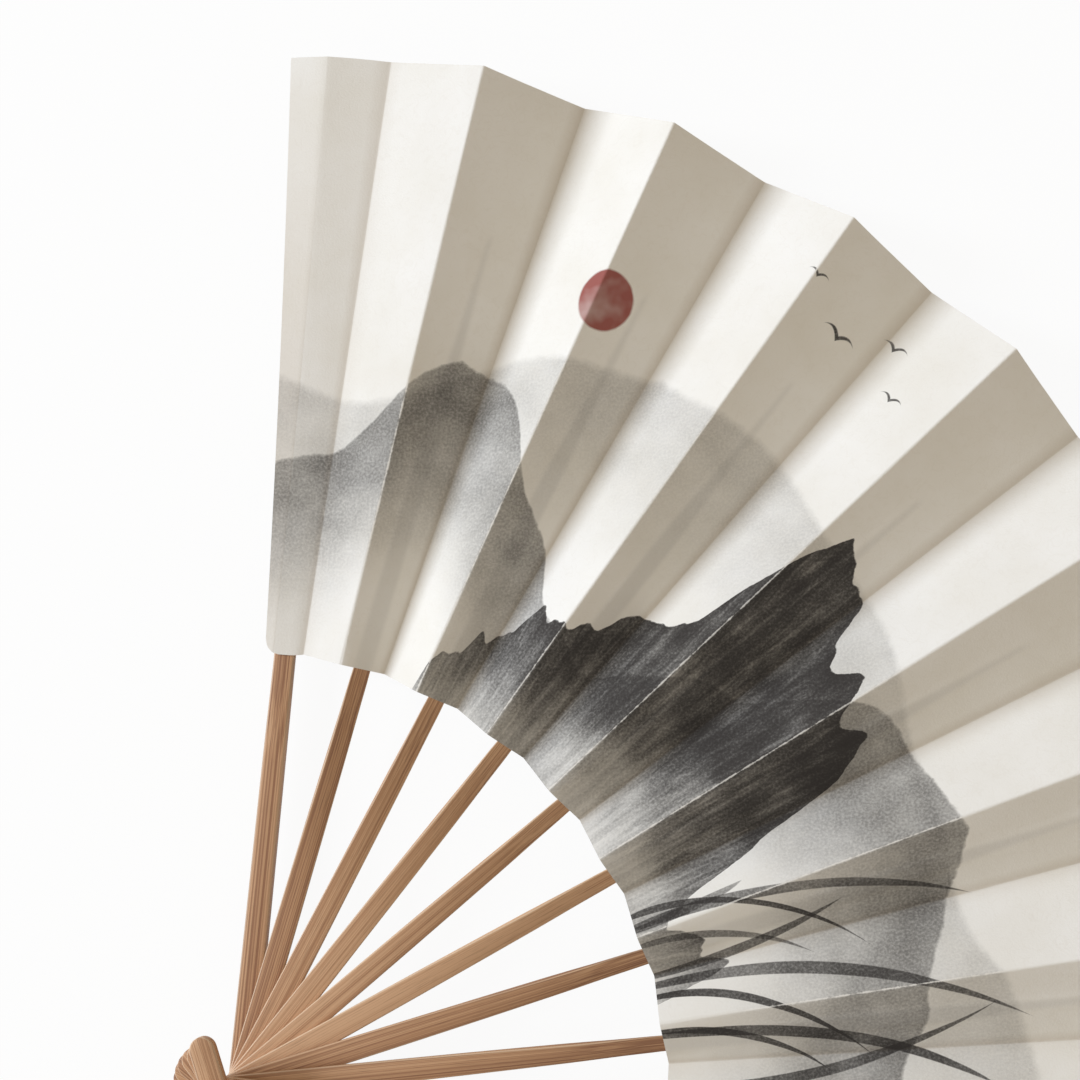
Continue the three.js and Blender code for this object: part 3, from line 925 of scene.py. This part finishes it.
# Rounds a crease between two faces: points near it move up in a valley (way 1), down on a mountain (-1)
def rollCrease(panel, distance, soft, faceA, faceB, way):
    bend = math.sin(angleBetween(faceA, faceB) / 2)
    rise = way * bend * np.clip(soft - distance, 0, None) ** 2 / (2 * soft)
    shift = rise[..., None] * unit(faceA + faceB)
    panel["front"] = panel["front"] + shift
    panel["back"] = panel["back"] + shift


# Joins a grid of face points and one of back points into one closed sheet
def sheetPiece(name, sheet):
    rows, columns = sheet["turn"].shape
    count = rows * columns
    index = np.arange(count).reshape(rows, columns)
    corners = [index[:-1, :-1], index[:-1, 1:], index[1:, 1:], index[1:, :-1]]
    quads = np.stack(corners, axis=-1).reshape(-1, 4)
    rim = np.concatenate([index[0, :-1], index[:-1, -1], index[-1, :0:-1], index[:0:-1, 0]])
    after = np.roll(rim, -1)
    faces = np.concatenate([
        quads, quads[:, ::-1] + count, np.stack([after, rim, rim + count, after + count], axis=-1)])
    slots = [0] * len(quads) + [1] * (len(faces) - len(quads))
    points = np.concatenate([sheet["front"].reshape(-1, 3), sheet["back"].reshape(-1, 3)])
    materials = [paintedMaterial, backMaterial]
    piece = addPiece(name, points, faces.tolist(), materials, slots, leaf["sharpAngle"])

    # Places on the flattened leaf: round and out along it, and square across the sheet
    turn, reach = sheet["turn"], sheet["reach"]
    flat = np.stack([turn * leafMiddle, reach - leafInner, sheet["crease"]], axis=-1) / mm
    square = np.stack([reach * np.sin(turn), reach * np.cos(turn), 0 * turn], axis=-1) / mm
    for field, kind, values in (
            ("leafFlat", "FLOAT_VECTOR", flat), ("leafSheet", "FLOAT_VECTOR", square),
            ("leafPaintedShade", "FLOAT", sheet["paintedShade"]), ("leafShadow", "FLOAT", sheet["shadow"])):
        addPointData(piece, field, kind, np.concatenate([values, values]))  # face and back alike
    return piece


turned = 0.0  # angle used up so far on the flattened leaf
for i in range(lastRib + 1):
    panel = endPanel(i) if i in (0, lastRib) else ribPanel(i)
    face = panelAxes(i)[2]
    start = endAngle if i == 0 else mountainAngle(i)
    panel["turn"] = turned + start - panel["angle"]
    panel["crease"] = radii * (start - panel["angle"])
    if i > 0:
        before = foldAxes(i - 1)[2]
        mitre(panel, 0, face, before)
        rollCrease(panel, panel["crease"], leaf["mountainSoft"], face, before, -1)
    if i == lastRib:
        piece = sheetPiece(numbered("leafEnd", i), panel)
        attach(piece, "front_guard")
        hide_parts(numbered("leaf_panel", i))
        continue

    # Both sides of the valley roll up into it, and the far edge rolls over the mountain
    fold, foldWidth = foldPanel(i)
    foldFace = foldAxes(i)[2]
    nextFace = panelAxes(i + 1)[2]
    toValley = radii * (panel["angle"] + valleyAngle(i))
    panel["back"][:, -1] = panel["front"][:, -1] - unit(face + foldFace) * 2 * paperHalf
    mitre(fold, -1, foldFace, nextFace)
    rollCrease(panel, toValley, leaf["valleySoft"], face, foldFace, 1)
    rollCrease(fold, fold["fromValley"], leaf["valleySoft"], face, foldFace, 1)
    rollCrease(fold, fold["toMountain"], leaf["mountainSoft"], foldFace, nextFace, -1)

    # Painted shade along each valley, darkest at the crease
    panelTone, foldTone = leafTone["crease"]
    panelReach, foldReach = leafTone["creaseReach"]
    panel["paintedShade"] = panel["paintedShade"] + panelTone * smoothStep(1 - toValley / panelReach)
    fold["paintedShade"] = foldTone * smoothStep(1 - fold["fromValley"] / foldReach)
    fold["shadow"] = 0 * fold["paintedShade"]
    fold["turn"] = turned + start + valleyAngle(i) + fold["share"] * foldWidth
    fold["crease"] = radii * foldWidth * (1 - fold["share"])
    if i == 0:
        panel["crease"] = radii * foldWidth + toValley
    sheet = {key: np.concatenate([panel[key], fold[key][:, 1:]], axis=1)
             for key in ("front", "back", "turn", "reach", "crease", "paintedShade", "shadow")}
    piece = sheetPiece(numbered("leafPleat", i), sheet)
    turned += start + valleyAngle(i) + foldWidth

    # Its valley line and middle are found, the pleat is fixed in place, and the panel and fold it stands
    # for are hidden
    pivot, valley = valleyLine(i)
    away = foldAxes(i)[1]
    middle = pivot + valley * leafMiddle
    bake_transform(piece)
    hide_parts(numbered("leaf_panel", i), numbered("leaf_fold", i))
print("Leaf folded,", round(math.degrees(turned + endCrease + endAngle)), "degrees when flat")

# Guards
guard = {
    "seatLead": 0.4 * mm,       # the leaf's seat starts this far below the leaf
    "thinFrom": 62 * mm,        # the bar is shaved down to its seat from here
    "glueGap": 0.05 * mm,
    "easing": 0.45 * mm,
    "stations": 60,
    "tones": {"rear_guard": -0.02, "front_guard": 0.02},
    "grainShift": 97,           # mm
}
seatStart = leafInner - guard["seatLead"]
guardPlaces = np.linspace(0, guardSize["tip"] - guardSize["narrow"], guard["stations"])[:-1]
guardSpans = barSpans(guardSize["tail"], guardSize["tip"], lambda x: float(guardHalf(x)), guardPlaces)
for name, i in (("rear_guard", 0), ("front_guard", lastRib)):
    along = ribDirection(i)
    low, high = (corner.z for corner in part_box(name))
    away = -1 if i == 0 else 1
    seat = ribLevel(i) + away * (paperHalf + guard["glueGap"])
    stations = []
    for x, half in guardSpans:
        shaved = float(smoothStep((x - guard["thinFrom"]) / (seatStart - guard["thinFrom"])))
        if i == 0:
            middle = (1 + leaf["guardSlope"]) / 2
            lean = (1 - leaf["guardSlope"]) / 2 * half / guardHalf(x)
            left, right = (mixed(high, seat + guardLift(x) * (middle + s * lean), shaved) for s in (1, -1))
            stations.append((x, guardBow(i, x), half, low, left, right, 0))
        else:
            stations.append((x, guardBow(i, x), half, mixed(low, seat, shaved), high, high, 0))
    piece = barPiece(name + "Stick", stations, np.zeros(3), (along, np.cross(upward, along), upward),
                     guard["tones"][name], guard["grainShift"] * (i + 2), guard["easing"])
    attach(piece, name)
    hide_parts(name)
print("Guards shaped")

# Rivet and washers, turned
turning = {"segments": 64, "rimEase": 0.16 * mm, "rimSteps": 4, "domeSteps": 12, "sharpAngle": 35}


def turnedPiece(name, profile, node, closed):
    count = turning["segments"]
    points, faces, rings = [], [], []
    for radius, z in profile:
        if radius == 0:
            rings.append([len(points)])
            points.append((0, 0, z))
            continue
        rings.append(list(range(len(points), len(points) + count)))
        for k in range(count):
            turn = 2 * math.pi * k / count
            points.append((radius * math.cos(turn), radius * math.sin(turn), z))
    pairs = list(zip(rings, rings[1:])) + ([(rings[-1], rings[0])] if closed else [])
    for lower, upper in pairs:
        for k in range(count):
            n = (k + 1) % count
            if len(lower) == 1:
                faces.append((lower[0], upper[n], upper[k]))
            elif len(upper) == 1:
                faces.append((lower[k], lower[n], upper[0]))
            else:
                faces.append((lower[k], lower[n], upper[n], upper[k]))
    piece = addPiece(name, points, faces, [brassMaterial], None, turning["sharpAngle"])
    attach(piece, "rear_guard")
    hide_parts(node)


# Quarter round about a centre, from the given direction in degrees
def quarterRound(x, z, radius, begin):
    turns = [math.radians(begin + 90 * k / turning["rimSteps"]) for k in range(turning["rimSteps"] + 1)]
    return [(x + radius * math.cos(t), z + radius * math.sin(t)) for t in turns]


rivet = {"shaft": 1.0 * mm, "rearThick": 0.7 * mm, "domeHeight": 1.3 * mm, "boreGap": 0.1 * mm}
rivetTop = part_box("rivet")[1]
headRadius = rivetTop.x
ease = turning["rimEase"]
domeBase = rivetTop.z - rivet["domeHeight"]
profile = [(0, 0), *quarterRound(headRadius - ease, ease, ease, -90)]
profile += quarterRound(headRadius - ease, rivet["rearThick"] - ease, ease, 0)
profile += [(rivet["shaft"], rivet["rearThick"]), (rivet["shaft"], domeBase)]
for k in range(turning["domeSteps"]):
    t = math.pi / 2 * k / turning["domeSteps"]
    profile.append((headRadius * math.cos(t), domeBase + rivet["domeHeight"] * math.sin(t)))
profile.append((0, rivetTop.z))
turnedPiece("rivetPin", profile, "rivet", False)
for name in ("rear_washer", "front_washer"):
    low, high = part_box(name)
    bore = rivet["shaft"] + rivet["boreGap"]
    profile = [(bore, low.z), *quarterRound(high.x - ease, low.z + ease, ease, -90)]
    profile += [*quarterRound(high.x - ease, high.z - ease, ease, 0), (bore, high.z)]
    turnedPiece(name + "Disc", profile, name, True)
print("Rivet and washers turned")

# Floor, light and camera
studio = {
    "floorColour": "#f7f7f5",
    "floorSize": 6.0,           # m
    "floorGlow": 0.93,          # share of plain white that the camera sees
    "ambient": "#fff2e0",
    "ambientStrength": 0.47,
    "keyColour": "#e6f0ff",
    "keyPower": 27.0,           # W
    "keySize": 0.48,            # m
    "keyDistance": 1.7,         # m
    "keyTurn": 250,             # degrees round from +X
    "keyHeight": 22.5,          # degrees above the floor
    "keyAim": (-60 * mm, 100 * mm, 0),
}


# What the camera, a mirror or glass sees directly, as 1 or 0
def seenDirectly(tree):
    rays = addNode(tree, "LightPath").node.outputs
    seen = addNode(tree, "Math", {0: rays["Is Camera Ray"], 1: rays["Is Glossy Ray"]}, operation="MAXIMUM")
    return addNode(tree, "Math", {0: seen, 1: rays["Is Transmission Ray"]}, operation="MAXIMUM")


def makeFloorMaterial():
    material, tree = newMaterial("paleFloor")
    share = addNode(tree, "Math", {0: seenDirectly(tree), 1: studio["floorGlow"]}, operation="MULTIPLY")
    matt = addNode(tree, "BsdfDiffuse", {"Color": studio["floorColour"]})
    glow = addNode(tree, "Emission", {"Color": (1, 1, 1, 1), "Strength": 1})
    both = addNode(tree, "MixShader", {0: share, 1: matt, 2: glow})
    addNode(tree, "OutputMaterial", {"Surface": both})
    return material


def makeWorld():
    world = bpy.data.worlds.new("softRoom")
    world.use_nodes = True
    tree = world.node_tree
    tree.nodes.clear()
    soft = addNode(tree, "Background", {
        "Color": studio["ambient"], "Strength": studio["ambientStrength"]})
    white = addNode(tree, "Background", {"Color": (1, 1, 1, 1), "Strength": 1})
    both = addNode(tree, "MixShader", {0: seenDirectly(tree), 1: soft, 2: white})
    addNode(tree, "OutputWorld", {"Surface": both})
    return world


half = studio["floorSize"] / 2
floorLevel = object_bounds()[0][2]
corners = [(-half, -half), (half, -half), (half, half), (-half, half)]
floor = addPiece("floor", [(x, y, floorLevel) for x, y in corners], [(0, 1, 2, 3)], [makeFloorMaterial()])
scene.world = makeWorld()

keyData = bpy.data.lights.new("keySoftbox", "AREA")
keyData.energy = studio["keyPower"]
keyData.size = studio["keySize"]
keyData.color = linearColour(studio["keyColour"])[:3]
keyLamp = bpy.data.objects.new("keySoftbox", keyData)
scene.collection.objects.link(keyLamp)
turn, height = math.radians(studio["keyTurn"]), math.radians(studio["keyHeight"])
towards = Vector((math.cos(turn) * math.cos(height), math.sin(turn) * math.cos(height), math.sin(height)))
keyLamp.location = Vector(studio["keyAim"]) + towards * studio["keyDistance"]
keyLamp.rotation_euler = towards.to_track_quat("Z", "Y").to_euler()

camera = {
    "place": (-58.8 * mm, 109.7 * mm, 403.2 * mm),
    "aim": (-101.5 * mm, 73.4 * mm, 3.35 * mm),
    "pictureUp": 173.23,        # degrees round from +X
    "lens": 65.8,
    "sensor": 36,
    "nearest": 0.01,            # m
}
cameraData = bpy.data.cameras.new("camera")
cameraData.lens = camera["lens"]
cameraData.sensor_width = camera["sensor"]
cameraData.clip_start = camera["nearest"]
cameraPiece = bpy.data.objects.new("camera", cameraData)
scene.collection.objects.link(cameraPiece)
backward = (Vector(camera["place"]) - Vector(camera["aim"])).normalized()
turn = math.radians(camera["pictureUp"])
right = Vector((math.cos(turn), math.sin(turn), 0)).cross(backward).normalized()
rotation = Matrix((right, backward.cross(right), backward)).transposed()
cameraPiece.matrix_world = Matrix.Translation(camera["place"]) @ rotation.to_4x4()
scene.camera = cameraPiece
print("Studio and camera set")
